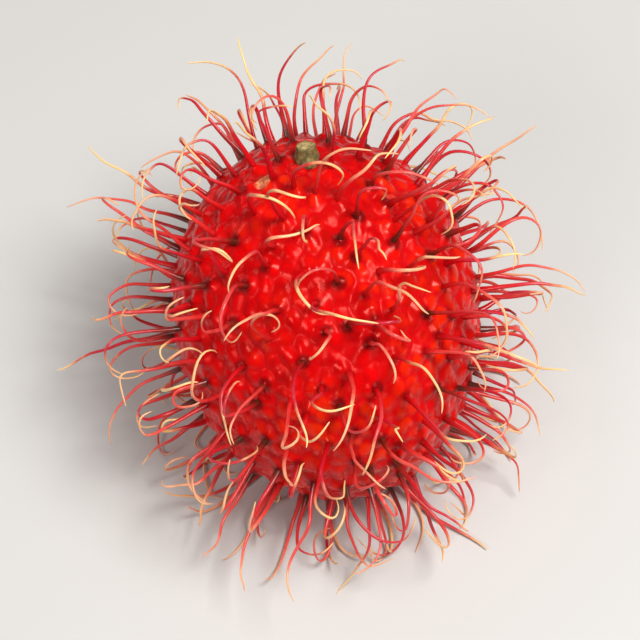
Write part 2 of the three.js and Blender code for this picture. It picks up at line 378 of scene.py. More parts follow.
class FruitShape:
    """Where the smooth rind is, before its pimples, and how each spine runs."""

    def __init__(self, rind, spines):
        self.half = Vector((rind.width / 2, rind.length / 2, rind.height / 2))
        self.spines = spines
        self.random = Random()
        # The lowest point of the tilted oval goes to the middle of the flat spot, and that deep.
        sine, cosine = math.sin(STALK_END_LIFT), math.cos(STALK_END_LIFT)
        lowest = math.hypot(self.half.y * sine, self.half.z * cosine)
        lowest_along = (self.half.z**2 - self.half.y**2) * sine * cosine / lowest
        shift = Matrix.Translation((0, -lowest_along, lowest - FLAT_SPOT_DEPTH))
        self.as_it_lies = shift @ Matrix.Rotation(STALK_END_LIFT, 4, "X")

    def point(self, way):
        """The point of the smooth rind that lies this way from the fruit's middle."""
        turn = math.atan2(way.z, way.x)
        swelling = UNEVENNESS * (1 - way.y**2) * (math.sin(3 * turn + 2 * way.y) + math.cos(2 * turn))
        fullness = 1 + STALK_END_FULLNESS * way.y + swelling
        place = (self.half.x * fullness * way.x, self.half.y * way.y, self.half.z * fullness * way.z)
        return self.as_it_lies @ Vector(place)

    def normal(self, way):
        """The way straight out of the rind at that point."""
        out = Vector((way.x / self.half.x, way.y / self.half.y, way.z / self.half.z))
        return (self.as_it_lies.to_3x3() @ out).normalized()

    def stub_way(self):
        """The way from the fruit's middle to the stub."""
        return Vector((0, math.cos(STUB_OFF_POLE), math.sin(STUB_OFF_POLE)))

    def spiral(self, count, jitter):
        """Directions spread evenly on a golden spiral from the stalk end, each a little out of place."""
        ways = []
        spacing = math.sqrt(4 * math.pi / count)
        for i in range(count):
            along = 1 - 2 * (i + 0.5) / count
            turn = i * GOLDEN_ANGLE
            ring = math.sqrt(1 - along**2)
            shift = Vector([spacing * jitter * self.random.spread() for _ in range(3)])
            ways.append((Vector((ring * math.cos(turn), along, ring * math.sin(turn))) + shift).normalized())
        return ways

    def can_root(self, way):
        """Whether a spine can root there, clear of the flat spot and of the stub."""
        root = self.point(way)
        stub = self.point(self.stub_way())
        return root.z >= BARE_ROUND_FLAT_SPOT and (root - stub).length >= BARE_ROUND_STUB

    def all_spines(self):
        """The solids' spines, then those between them, each as its way out and its line."""
        spines = []
        for way in self.spiral(self.spines.count, PLACE_JITTER):
            line = self.spine_line(way)
            if self.can_root(way):
                spines.append((way, line))
        self.press_tips([line for _, line in spines])
        roots = [self.point(way) for way, _ in spines]
        for way in self.spiral(self.spines.filler_places, PLACE_JITTER):
            root = self.point(way)
            if self.can_root(way) and min((root - r).length for r in roots) > self.spines.filler_gap:
                spines.append((way, self.spine_line(way)))
                roots.append(root)
        return spines

    def press_tips(self, lines):
        """Presses the tips of three low spines, spread round the fruit, on the floor."""
        low = [line for line in lines if line[-1][0].z < BEARING_REACH]
        for turn in BEARING_TURNS:
            way = Vector((math.cos(turn), math.sin(turn), 0))
            furthest = max(low, key=lambda line: line[-1][0].dot(way))
            drop = furthest[-1][0].z
            for i, (point, _, _, _) in enumerate(furthest):
                point.z -= drop * (i / SPINE_STEPS) ** BEARING_BEND

    def half_width(self, height, share):
        """Half a spine's width at a height above the rind, which is this share of the spine's length."""
        root, tip = self.spines.half_width, self.spines.tip_half_width
        flare = ROOT_FLARE * math.exp(-((height / FLARE_HEIGHT) ** 2))
        return tip + (root - tip) * (1 - share) ** SPINE_TAPER + flare

    def spine_line(self, way):
        """A spine's line from its sunk root: it leaves the rind nearly square, then bends into a hook.
        Where it would pass through the floor, it is pressed along it, away from the fruit."""
        draw = self.random.draw
        start = self.point(way)
        normal = self.normal(way)
        to_tip = (TO_TIP - normal * TO_TIP.dot(normal)).normalized()
        across = normal.cross(to_tip)

        def heading(angle):
            return to_tip * math.cos(angle) + across * math.sin(angle)

        length = self.spines.length + self.spines.length_spread * draw()
        lean = LEAN * draw()
        lean_heading = 2 * math.pi * draw()
        hook_turn = HOOK_TURN + HOOK_TURN_SPREAD * draw()
        hook_heading = HOOK_HEADING + HOOK_HEADING_SPREAD * (draw() - 0.5)
        hook_start = HOOK_START + HOOK_START_SPREAD * draw()
        sway = SWAY * self.random.spread()
        kink_turn = KINK_TURN * self.random.spread() ** KINK_RARITY
        kink_start = KINK_START + KINK_START_SPREAD * draw()

        rise = (normal + heading(lean_heading) * lean).normalized()
        hook = heading(hook_heading)
        hook = (hook - rise * hook.dot(rise)).normalized()
        side = rise.cross(hook)
        away = Vector((start.x, start.y, 0)).normalized()
        step = length / SPINE_STEPS
        line = [(start - normal * ROOT_SINK, normal, side, self.half_width(0, 0))]
        point = start.copy()
        for i in range(1, SPINE_STEPS + 1):
            share = i / SPINE_STEPS
            hooked = max(0, (share - hook_start) / (1 - hook_start))
            turn = hook_turn * hooked**HOOK_TIGHTENING + (kink_turn if share > kink_start else 0)
            swing = sway * math.sin(2 * math.pi * share)
            forward = (rise * math.cos(turn) + hook * math.sin(turn) + side * swing).normalized()
            half_width = self.half_width(share * length, share)
            floor = half_width * SIDES_FACTOR + SURFACE_CLEARANCE
            if point.z + forward.z * step < floor:
                drop = max(-1, min(1, (floor - point.z) / step))
                forward.z = 0
                forward = (forward.normalized() + away * SPREAD_ON_SURFACE).normalized()
                forward = forward * math.sqrt(1 - drop**2) + Vector((0, 0, drop))
            point = point + forward * step
            line.append((point, forward, side, half_width))
        return line


def add_node(tree, kind, settings=None, links=None):
    """Adds a node. settings are its own properties or its inputs' values, and links feed its inputs."""
    node = tree.nodes.new(kind)
    for name, value in (settings or {}).items():
        if isinstance(name, int) or name in node.inputs:
            node.inputs[name].default_value = value
        else:
            setattr(node, name, value)
    for name, socket in (links or {}).items():
        tree.links.new(socket, node.inputs[name])
    return node


def new_material(name):
    """A material with an empty tree and its output node."""
    material = bpy.data.materials.new(name)
    material.use_nodes = True
    tree = material.node_tree
    tree.nodes.clear()
    return material, tree, add_node(tree, "ShaderNodeOutputMaterial")


def rgba(colour):
    """A colour with the alpha of 1 that a socket takes."""
    return (*colour, 1)


def ripened_and_lit_colour(tree, settings, place):
    """The rind's reds, without its relief: its own warm patches and crimson clouds, with painted light
    warming the side toward the key light.
    """
    # Warmer patches about 12 mm across, the rind's own, with painted light that adds more of them on the side
    # toward the key light.
    patches = add_node(
        tree, "ShaderNodeTexNoise", {"Scale": 1 / (12 * MM), "Detail": 2, "Roughness": 0.5}, {"Vector": place}
    )
    toward_lit_side = add_node(
        tree, "ShaderNodeVectorMath", {"operation": "DOT_PRODUCT", 1: TO_THE_LIT_SIDE}, {0: place}
    )
    patches_and_lit_side = add_node(
        tree, "ShaderNodeMath", {"operation": "ADD"}, {0: patches.outputs[0], 1: toward_lit_side.outputs["Value"]}
    )
    warm_and_lit_share = add_node(
        tree,
        "ShaderNodeMapRange",
        {"From Min": 0.46, "From Max": 0.7, "To Max": 0.75},
        {"Value": patches_and_lit_side.outputs[0]},
    )
    warm_and_lit_rind = add_node(
        tree,
        "ShaderNodeMix",
        {"data_type": "RGBA", 6: rgba(settings.colour), 7: rgba(settings.warm_and_lit_colour)},
        {0: warm_and_lit_share.outputs[0]},
    )
    # Deeper crimson clouds about 5 mm across.
    clouds = add_node(
        tree, "ShaderNodeTexNoise", {"Scale": 1 / (5 * MM), "Detail": 2, "Roughness": 0.5}, {"Vector": place}
    )
    cloud_share = add_node(
        tree,
        "ShaderNodeMapRange",
        {"interpolation_type": "SMOOTHSTEP", "From Min": 0.48, "From Max": 0.62, "To Max": 0.8},
        {"Value": clouds.outputs[0]},
    )
    clouded_rind = add_node(
        tree,
        "ShaderNodeMix",
        {"data_type": "RGBA", 7: rgba(settings.cloud_colour)},
        {0: cloud_share.outputs[0], 6: warm_and_lit_rind.outputs[2]},
    )
    return clouded_rind.outputs[2]


def lit_and_shaded_by_relief(tree, settings, relief, colour):
    """The rind's colour with painted light and shade from the relief: painted shade in the furrows, painted
    light on the pimples' tops and painted shade round the spines' roots.
    """
    # Painted shade: the lower the relief, the more of the furrow shade colour.
    depth = add_node(
        tree,
        "ShaderNodeMapRange",
        {"interpolation_type": "SMOOTHSTEP", "From Max": 0.6},
        {"Value": relief},
    )
    out_of_furrow_shade = add_node(
        tree,
        "ShaderNodeMix",
        {"data_type": "RGBA", 6: rgba(settings.furrow_shade_colour)},
        {0: depth.outputs[0], 7: colour},
    )
    top = add_node(
        tree, "ShaderNodeMapRange", {"From Min": 0.3, "To Max": 0.6}, {"Value": relief}
    )
    with_top_light = add_node(
        tree,
        "ShaderNodeMix",
        {"data_type": "RGBA", 7: rgba(settings.pimple_top_light_colour)},
        {0: top.outputs[0], 6: out_of_furrow_shade.outputs[2]},
    )
    # Painted shade round each spine's root, about 2 mm across, deepest round the browner spines.
    collar_painted_shade = add_node(tree, "ShaderNodeAttribute", {"attribute_name": "collar_painted_shade"}).outputs["Fac"]
    collar_shade_share = add_node(
        tree,
        "ShaderNodeMapRange",
        {"interpolation_type": "SMOOTHSTEP", "From Min": 0.2, "From Max": 0.7, "To Max": 0.85},
        {"Value": collar_painted_shade},
    )
    with_collar_shade = add_node(
        tree,
        "ShaderNodeMix",
        {"data_type": "RGBA", 7: rgba(settings.collar_shade_colour)},
        {0: collar_shade_share.outputs[0], 6: with_top_light.outputs[2]},
    )
    return with_collar_shade.outputs[2]


def dry_scar_colour(tree, settings, place):
    """The dry skin of the scar: tan, with paler streaks about 0.7 mm apart."""
    streaks = add_node(
        tree,
        "ShaderNodeTexNoise",
        {"Scale": 1 / (0.7 * MM), "Detail": 3, "Roughness": 0.6},
        {"Vector": place},
    )
    streak_share = add_node(
        tree, "ShaderNodeMapRange", {"From Min": 0.42, "From Max": 0.62}, {"Value": streaks.outputs[0]}
    )
    dry_skin = add_node(
        tree,
        "ShaderNodeMix",
        {"data_type": "RGBA", 6: rgba(settings.scar_colour), 7: rgba(settings.scar_streak_colour)},
        {0: streak_share.outputs[0]},
    )
    return dry_skin.outputs[2]


def fresh_rind_material(settings):
    """Fresh rambutan rind, grown: a thin wet-looking skin over soft red flesh. The eye gets small sharp
    glints on the pimples, painted shade in the furrows and round the roots, painted light on the pimples'
    tops and on the side toward the key light, and a glow of red where light goes in and out."""
    material, tree, output = new_material("fresh rambutan rind")
    place = add_node(tree, "ShaderNodeTexCoord").outputs["Object"]
    # The relief, for painted light and shade in the colour and for the shine.
    relief = add_node(tree, "ShaderNodeAttribute", {"attribute_name": "relief"}).outputs["Fac"]
    scar = add_node(tree, "ShaderNodeAttribute", {"attribute_name": "scar"}).outputs["Fac"]
    ripened_and_lit = ripened_and_lit_colour(tree, settings, place)
    scarred = add_node(
        tree,
        "ShaderNodeMapRange",
        {"interpolation_type": "SMOOTHSTEP", "From Min": 0.3, "From Max": 0.65},
        {"Value": scar},
    )
    with_scar = add_node(
        tree,
        "ShaderNodeMix",
        {"data_type": "RGBA"},
        {
            0: scarred.outputs[0],
            6: lit_and_shaded_by_relief(tree, settings, relief, ripened_and_lit),
            7: dry_scar_colour(tree, settings, place),
        },
    )
    # Pebbles about 0.9 mm across, between and over the pimples.
    pebbles = add_node(
        tree,
        "ShaderNodeTexVoronoi",
        {"feature": "SMOOTH_F1", "Scale": 1 / (0.9 * MM), "Smoothness": 1.0},
        {"Vector": place},
    )
    pebbled = add_node(
        tree,
        "ShaderNodeBump",
        {"invert": True, "Strength": 0.2, "Distance": 0.14 * MM},
        {"Height": pebbles.outputs["Distance"]},
    )
    # The skin's own grain is about 0.1 mm, drawn at 0.2 mm so that it shows.
    grain = add_node(
        tree,
        "ShaderNodeTexNoise",
        {"Scale": 1 / (0.2 * MM), "Detail": 2, "Roughness": 0.6},
        {"Vector": place},
    )
    skin = add_node(
        tree,
        "ShaderNodeBump",
        {"Strength": 0.08, "Distance": 0.04 * MM},
        {"Height": grain.outputs[0], "Normal": pebbled.outputs[0]},
    )
    # Shiny on the pimples, duller down in the creases and dullest on the scar.
    dullness = add_node(
        tree,
        "ShaderNodeMapRange",
        {"interpolation_type": "SMOOTHSTEP", "From Min": 0.4, "From Max": 0.1, "To Max": 0.15},
        {"Value": relief},
    )
    grain_shine = add_node(
        tree, "ShaderNodeMapRange", {"To Min": 0.14, "To Max": 0.28}, {"Value": grain.outputs[0]}
    )
    fresh_shine = add_node(
        tree, "ShaderNodeMath", {"operation": "ADD"}, {0: grain_shine.outputs[0], 1: dullness.outputs[0]}
    )
    shine = add_node(
        tree,
        "ShaderNodeMath",
        {"operation": "MULTIPLY_ADD", 1: SCAR_DULLNESS},
        {0: scarred.outputs[0], 2: fresh_shine.outputs[0]},
    )
    shader = add_node(
        tree,
        "ShaderNodeBsdfPrincipled",
        {
            "IOR": 1.45,
            "Subsurface Weight": 0.25,
            "Subsurface Radius": (1.0, 0.15, 0.08),
            "Subsurface Scale": 1.5 * MM,
            "Specular IOR Level": 0.58,
            "Specular Tint": rgba(settings.glint_colour),
        },
        {"Base Color": with_scar.outputs[2], "Roughness": shine.outputs[0], "Normal": skin.outputs[0]},
    )
    tree.links.new(shader.outputs[0], output.inputs["Surface"])
    return material


def juicy_colour(tree, settings, uneven, hue):
    """A fresh spine's colour: red at the root, and then a crimson or a salmon shaft."""
    shaft_start = add_node(
        tree,
        "ShaderNodeMapRange",
        {"interpolation_type": "SMOOTHSTEP", "From Min": 0.15, "From Max": 0.75},
        {"Value": uneven},
    )
    shaft = add_node(
        tree,
        "ShaderNodeMix",
        {"data_type": "RGBA", 6: rgba(settings.crimson_shaft_colour), 7: rgba(settings.shaft_colour)},
        {0: hue},
    )
    root_to_shaft = add_node(
        tree,
        "ShaderNodeMix",
        {"data_type": "RGBA", 6: rgba(settings.root_colour)},
        {0: shaft_start.outputs[0], 7: shaft.outputs[2]},
    )
    return root_to_shaft.outputs[2]


def shaded_at_root(tree, settings, along, colour):
    """The colour, with painted shade where most of the spines root."""
    root_shade = add_node(
        tree,
        "ShaderNodeMapRange",
        {"interpolation_type": "SMOOTHSTEP", "From Min": 0.17, "From Max": 0.05, "To Max": 0.8},
        {"Value": along},
    )
    painted_shade = add_node(tree, "ShaderNodeAttribute", {"attribute_name": "root_painted_shade"}).outputs["Fac"]
    root_shade_share = add_node(
        tree, "ShaderNodeMath", {"operation": "MULTIPLY"}, {0: root_shade.outputs[0], 1: painted_shade}
    )
    with_root_shade = add_node(
        tree,
        "ShaderNodeMix",
        {"data_type": "RGBA", 7: rgba(settings.root_shade_colour)},
        {0: root_shade_share.outputs[0], 6: colour},
    )
    return with_root_shade.outputs[2]


def browned(tree, settings, uneven, shade, colour):
    """The colour, with about one spine in three browned from the root up."""
    brownness = add_node(
        tree,
        "ShaderNodeMapRange",
        {"interpolation_type": "SMOOTHSTEP", "From Min": 0.6, "From Max": 0.7, "To Max": 0.93},
        {"Value": shade},
    )
    near_root = add_node(
        tree,
        "ShaderNodeMapRange",
        {"interpolation_type": "SMOOTHSTEP", "From Min": 0.52, "From Max": 0.12},
        {"Value": uneven},
    )
    brown_share = add_node(
        tree, "ShaderNodeMath", {"operation": "MULTIPLY"}, {0: brownness.outputs[0], 1: near_root.outputs[0]}
    )
    with_brown = add_node(
        tree,
        "ShaderNodeMix",
        {"data_type": "RGBA", 7: rgba(settings.browned_colour)},
        {0: brown_share.outputs[0], 6: colour},
    )
    return with_brown.outputs[2]


def dried_at_tip(tree, settings, uneven, shade, hue, colour):
    """The colour, dried to cream or peach at the tip, from a place that differs from spine to spine."""
    cream_from = add_node(tree, "ShaderNodeMapRange", {"To Min": 0.42, "To Max": 0.9}, {"Value": shade})
    past = add_node(
        tree, "ShaderNodeMath", {"operation": "SUBTRACT"}, {0: uneven, 1: cream_from.outputs[0]}
    )
    dryness = add_node(
        tree,
        "ShaderNodeMapRange",
        {"interpolation_type": "SMOOTHSTEP", "From Max": 0.32},
        {"Value": past.outputs[0]},
    )
    tip = add_node(
        tree,
        "ShaderNodeMix",
        {"data_type": "RGBA", 6: rgba(settings.tip_colour), 7: rgba(settings.peach_tip_colour)},
        {0: hue},
    )
    with_tip = add_node(
        tree, "ShaderNodeMix", {"data_type": "RGBA"}, {0: dryness.outputs[0], 6: colour, 7: tip.outputs[2]}
    )
    return with_tip.outputs[2]


def spine_skin_material(settings):
    """The skin of the soft spines, grown: red and juicy at the root, drying to cream at the hooked end.
    The eye gets a long gradient down each spine, fine streaks along it and a soft line of light."""
    material, tree, output = new_material("rambutan spine skin")
    along = add_node(tree, "ShaderNodeAttribute", {"attribute_name": "along"}).outputs["Fac"]
    shade = add_node(tree, "ShaderNodeAttribute", {"attribute_name": "shade"}).outputs["Fac"]
    place = add_node(tree, "ShaderNodeTexCoord").outputs["Object"]
    # Streaks and dry spots, about 1.5 mm long.
    mottle = add_node(
        tree,
        "ShaderNodeTexNoise",
        {"Scale": 1 / (1.5 * MM), "Detail": 3, "Roughness": 0.6},
        {"Vector": place},
    )
    uneven = add_node(
        tree,
        "ShaderNodeMath",
        {"operation": "MULTIPLY_ADD", 1: MOTTLE_REACH},
        {0: mottle.outputs[0], 2: along},
    ).outputs[0]
    # A second shade for each spine, folded out of the first so that the two look unrelated.
    many_times = add_node(tree, "ShaderNodeMath", {"operation": "MULTIPLY", 1: HUE_FOLDS}, {0: shade})
    hue = add_node(tree, "ShaderNodeMath", {"operation": "FRACT"}, {0: many_times.outputs[0]}).outputs[0]
    colour = juicy_colour(tree, settings, uneven, hue)
    # Painted shade at each spine's root, deeper for the browner ones.
    colour = shaded_at_root(tree, settings, along, colour)
    colour = browned(tree, settings, uneven, shade, colour)
    colour = dried_at_tip(tree, settings, uneven, shade, hue, colour)
    skin = add_node(
        tree, "ShaderNodeBump", {"Strength": 0.3, "Distance": 0.05 * MM}, {"Height": mottle.outputs[0]}
    )
    shader = add_node(
        tree,
        "ShaderNodeBsdfPrincipled",
        {
            "IOR": 1.45,
            "Roughness": 0.28,
            "Subsurface Weight": 0.25,
            "Subsurface Radius": (1.0, 0.3, 0.15),
            "Subsurface Scale": 0.5 * MM,
        },
        {"Base Color": colour, "Normal": skin.outputs[0]},
    )
    tree.links.new(shader.outputs[0], output.inputs["Surface"])
    return material


def dry_stalk_material(settings):
    """Dry stalk bark, torn off the branch: corky and lifeless. The eye gets a matt olive brown, dark in the
    cracks, with paler torn fibres at the end."""
    material, tree, output = new_material("dry corky stalk")
    place = add_node(tree, "ShaderNodeTexCoord").outputs["Object"]
    # Cork cells and cracks, about 0.55 mm apart.
    cracks = add_node(
        tree,
        "ShaderNodeTexNoise",
        {"Scale": 1 / (0.55 * MM), "Detail": 4, "Roughness": 0.7},
        {"Vector": place},
    )
    crack_share = add_node(
        tree, "ShaderNodeMapRange", {"From Min": 0.35, "From Max": 0.62}, {"Value": cracks.outputs[0]}
    )
    bark = add_node(
        tree,
        "ShaderNodeMix",
        {"data_type": "RGBA", 6: rgba(settings.crack_colour), 7: rgba(settings.colour)},
        {0: crack_share.outputs[0]},
    )
    torn = add_node(tree, "ShaderNodeAttribute", {"attribute_name": "torn"}).outputs["Fac"]
    torn_share = add_node(
        tree, "ShaderNodeMath", {"operation": "MULTIPLY"}, {0: torn, 1: crack_share.outputs[0]}
    )
    with_end = add_node(
        tree,
        "ShaderNodeMix",
        {"data_type": "RGBA", 7: rgba(settings.torn_colour)},
        {0: torn_share.outputs[0], 6: bark.outputs[2]},
    )
    rough = add_node(
        tree, "ShaderNodeBump", {"Strength": 0.7, "Distance": 0.15 * MM}, {"Height": cracks.outputs[0]}
    )
    shader = add_node(
        tree,
        "ShaderNodeBsdfPrincipled",
        {"Roughness": 0.85},
        {"Base Color": with_end.outputs[2], "Normal": rough.outputs[0]},
    )
    tree.links.new(shader.outputs[0], output.inputs["Surface"])
    return material


def matt_board_material(settings):
    """Matt painted board, rolled: a plain pale surface, a little more and less matt in patches."""
    material, tree, output = new_material("matt painted board")
    place = add_node(tree, "ShaderNodeTexCoord").outputs["Object"]
    # The roller's patches, about 17 mm across.
    patches = add_node(tree, "ShaderNodeTexNoise", {"Scale": 1 / (17 * MM), "Detail": 3}, {"Vector": place})
    shine = add_node(
        tree, "ShaderNodeMapRange", {"To Min": 0.5, "To Max": 0.6}, {"Value": patches.outputs[0]}
    )
    shader = add_node(
        tree,
        "ShaderNodeBsdfPrincipled",
        {"Base Color": rgba(settings.floor_colour)},
        {"Roughness": shine.outputs[0]},
    )
    tree.links.new(shader.outputs[0], output.inputs["Surface"])
    return material


def new_piece(name, shape, material):
    """An object at the origin made from a bmesh, smooth all over."""
    mesh = bpy.data.meshes.new(name)
    for face in shape.faces:
        face.smooth = True
    shape.to_mesh(mesh)
    shape.free()
    mesh.materials.append(material)
    piece = bpy.data.objects.new(name, mesh)
    bpy.context.scene.collection.objects.link(piece)
    return piece


def tree_of(points):
    """A search tree over some points."""
    tree = kdtree.KDTree(len(points))
    for i, point in enumerate(points):
        tree.insert(point, i)
    tree.balance()
    return tree


def hump(distance, radius):
    """1 in the middle, falling smoothly, with about a third left at the radius."""
    return math.exp(-((distance / radius) ** 2))


def root_painted_shade(shade):
    """How deep the painted shade is where a spine roots, and on the rind round it."""
    share = (shade - ROOT_PAINTED_SHADE_FROM) / ROOT_PAINTED_SHADE_OVER
    painted_shade = LEAST_ROOT_PAINTED_SHADE + (1 - LEAST_ROOT_PAINTED_SHADE) * share
    return max(LEAST_ROOT_PAINTED_SHADE, min(1, painted_shade))


class RAMBUTAN_OT_rind(bpy.types.Operator):
    """Builds the rind: a pimpled oval, with a mound under each spine, furrows, a faint seam and a scar"""

    bl_idname = "rambutan.rind"
    bl_label = "Build Rind"

    def execute(self, context):
        settings = context.scene.rambutan_rind
        fruit = FruitShape(settings, context.scene.rambutan_spines)
        roots = [fruit.point(way) for way, _ in fruit.all_spines()]
        self.mounds = tree_of(roots)
        # The spines draw the same shades, so the deepest painted shade at a spine's root stands in the
        # deepest painted shade round it.
        shades = Random()
        self.collar_shades = [root_painted_shade(shades.draw()) for _ in roots]
        self.stub = fruit.point(fruit.stub_way())
        self.scar_middle = fruit.point(SCAR_WAY.normalized())
        self.settings = settings
        self.place_pimples(fruit)

        shape = bmesh.new()
        bmesh.ops.create_cube(shape, size=2)
        bmesh.ops.subdivide_edges(shape, edges=shape.edges, cuts=RIND_CUTS, use_grid_fill=True)
        layers = [shape.verts.layers.float.new(name) for name in ("relief", "collar_painted_shade", "scar")]
        for vert in shape.verts:
            # The tangents spread a cube's grid nearly evenly over the ball.
            way = Vector([math.tan(c * math.pi / 4) for c in vert.co]).normalized()
            place, normal = fruit.point(way), fruit.normal(way)
            rise, *shares = self.relief(place)
            place = place + normal * rise
            place.z = max(place.z, 0)
            vert.co = place
            for layer, share in zip(layers, shares):
                vert[layer] = share
        bmesh.ops.recalc_face_normals(shape, faces=shape.faces)
        rind = new_piece("rind", shape, fresh_rind_material(settings))
        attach(rind, "root")
        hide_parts("fruit")
        return {"FINISHED"}

    def place_pimples(self, fruit):
        """Spreads the pimples over the whole fruit, a pimple spacing apart, and draws the size of each."""
        # The area is that of an oval with three unlike axes, by a rule that comes close to it.
        half = fruit.half
        faces = (half.x * half.y, half.x * half.z, half.y * half.z)
        area = 4 * math.pi * (sum(face**AREA_POWER for face in faces) / 3) ** (1 / AREA_POWER)
        count = round(area * PIMPLE_SQUEEZE / self.settings.pimple_spacing**2)
        ways = fruit.spiral(count, PIMPLE_JITTER)
        self.to_level = fruit.as_it_lies.inverted()
        self.pimples = tree_of([self.squeezed(fruit.point(way)) for way in ways])
        self.pimple_sizes = [PIMPLE_SIZE + PIMPLE_SIZE_SPREAD * fruit.random.draw() for _ in ways]

    def squeezed(self, place):
        """A point in a space where the pimples, which are longer along the fruit, are round."""
        place = self.to_level @ place
        place.y *= PIMPLE_SQUEEZE
        return place

    def pimple(self, place):
        """The height of the packed, rounded pimples here: 1 on top of the tallest and 0 deep between."""
        reach = PIMPLE_REACH * self.settings.pimple_spacing
        near = self.pimples.find_n(place, PIMPLES_NEAR)
        domes = [math.exp(PIMPLE_CREASE * (self.pimple_sizes[i] - (d / reach) ** 2)) for _, i, d in near]
        return math.log(sum(domes)) / PIMPLE_CREASE

    def seam(self, place):
        """1 along the faint seam that runs from the stalk end to the tip and round again."""
        level = self.to_level @ place
        wander = SEAM_WANDER * noise.noise(level / SEAM_WANDER_LENGTH)
        return hump(level.x - SEAM_SLANT * level.y - wander, SEAM_HALF_WIDTH)

    def scar(self, place):
        """1 in the middle of the dry scar near the stalk end, falling to nothing past its ragged edge."""
        ragged = RAGGEDNESS * noise.noise(place / RAG_LENGTH)
        return hump((place - self.scar_middle).length + ragged, SCAR_RADIUS)

    def relief(self, place):
        """How far the rind stands out of the smooth oval here, then the relief that paints light and shade
        into the colour, the painted shade round a spine's root and the scar, each as a share from 0 to 1 for
        the colour."""
        (_, mound, nearest), (_, _, second) = self.mounds.find_n(place, 2)
        furrow = hump(second - nearest, FURROW_HALF_WIDTH) * min(1, nearest / FURROW_OFF_ROOT)
        pimple = self.pimple(self.squeezed(place))
        waviness = noise.noise(place / WAVE_LENGTH)
        seam = self.seam(place)
        scar = self.scar(place)
        rise = (
            self.settings.pimple_height * pimple * (1 - SCAR_FLATTENING * scar)
            - self.settings.furrow_depth * furrow
            + MOUND_HEIGHT * hump(nearest, MOUND_RADIUS)
            + WAVE_HEIGHT * waviness
            - SEAM_DEPTH * seam
        )
        from_stub = (place - self.stub).length
        rise -= DIMPLE_DEPTH * hump(from_stub, DIMPLE_RADIUS) ** 2
        rise += DIMPLE_RIM_HEIGHT * hump(from_stub - DIMPLE_RIM_RADIUS, DIMPLE_RIM_HALF_WIDTH)
        # Painted light and shade for the colour: darker in the furrows, round the roots and along the seam,
        # lighter on the pimples and wave crests.
        relief = (
            pimple
            - FURROW_PAINTED_SHADE * furrow
            - ROOT_PAINTED_SHADE * hump(nearest, ROOT_PAINTED_SHADE_RADIUS)
            - SEAM_PAINTED_SHADE * seam
            + WAVE_PAINTED_LIGHT_AND_SHADE * waviness
        )
        return rise, max(0, min(1, relief)), self.collar_shades[mound] * hump(nearest, COLLAR_SHADE_RADIUS), scar


class RAMBUTAN_OT_spines(bpy.types.Operator):
    """Builds the soft spines: tapered straps that leave the rind nearly square and end in hooks"""

    bl_idname = "rambutan.spines"
    bl_label = "Build Spines"

    def execute(self, context):
        settings = context.scene.rambutan_spines
        fruit = FruitShape(context.scene.rambutan_rind, settings)
        strap = self.straight_strap()
        shape = bmesh.new()
        shape.verts.layers.float.new("along")
        shade_layer = shape.verts.layers.float.new("shade")
        painted_shade_layer = shape.verts.layers.float.new("root_painted_shade")
        shades = Random()
        for _, line in fruit.all_spines():
            line = self.gnarled(line)
            before = len(shape.verts)
            shape.from_mesh(strap)
            shape.verts.ensure_lookup_table()
            shade = shades.draw()
            for vert in shape.verts[before:]:
                vert.co = self.bent(vert.co, line)
                vert[shade_layer] = shade
                vert[painted_shade_layer] = root_painted_shade(shade)
        bpy.data.meshes.remove(strap)
        bmesh.ops.recalc_face_normals(shape, faces=shape.faces)
        spines = new_piece("spines", shape, spine_skin_material(settings))
        smooth = spines.modifiers.new("Smooth", "SUBSURF")
        smooth.levels = smooth.render_levels = 1
        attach(spines, "root")
        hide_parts("fruit")
        return {"FINISHED"}

    def straight_strap(self):
        """A straight tube with a ring for each ring of a spine, from z 0 at the root to z 1."""
        shape = bmesh.new()
        bmesh.ops.create_cone(
            shape,
            cap_ends=True,
            segments=SPINE_SIDES,
            radius1=1,
            radius2=1,
            depth=1,
            matrix=Matrix.Translation((0, 0, 0.5)),
        )
        lengthwise = [e for e in shape.edges if abs(e.verts[0].co.z - e.verts[1].co.z) > 0.5]
        bmesh.ops.subdivide_edges(shape, edges=lengthwise, cuts=SPINE_RINGS - 1, use_grid_fill=True)
        along_layer = shape.verts.layers.float.new("along")
        for vert in shape.verts:
            vert[along_layer] = vert.co.z
        mesh = bpy.data.meshes.new("strap")
        shape.to_mesh(mesh)
        shape.free()
        return mesh

    def gnarled(self, line):
        """A spine's line with small bends, as it has dried, which grow to its tip."""
        gnarled = []
        for i, (point, forward, side, half_width) in enumerate(line):
            places = [(point + apart) / BEND_LENGTH for apart in BENDS_APART]
            bend = Vector([noise.noise(place) for place in places]) * BEND_REACH * i / SPINE_STEPS
            off_floor = min(1, max(0, point.z) / BEND_LENGTH)
            gnarled.append((point + bend * off_floor, forward, side, half_width))
        return gnarled

    def bent(self, place, line):
        """Where a point of the straight strap goes on a spine's line."""
        ring = round(place.z * SPINE_RINGS)
        point, forward, side, half_width = line[ring * SPINE_STEPS // SPINE_RINGS]
        wide = (side - forward * side.dot(forward)).normalized()
        thin = wide.cross(forward)
        reach = half_width * SIDES_FACTOR * SLIMNESS
        if ring == SPINE_RINGS:
            reach *= TIP_TAPER
        place = point + wide * (place.x * reach) + thin * (place.y * reach / FLATNESS)
        place.z = max(place.z, ABOVE_FLOOR)
        return place


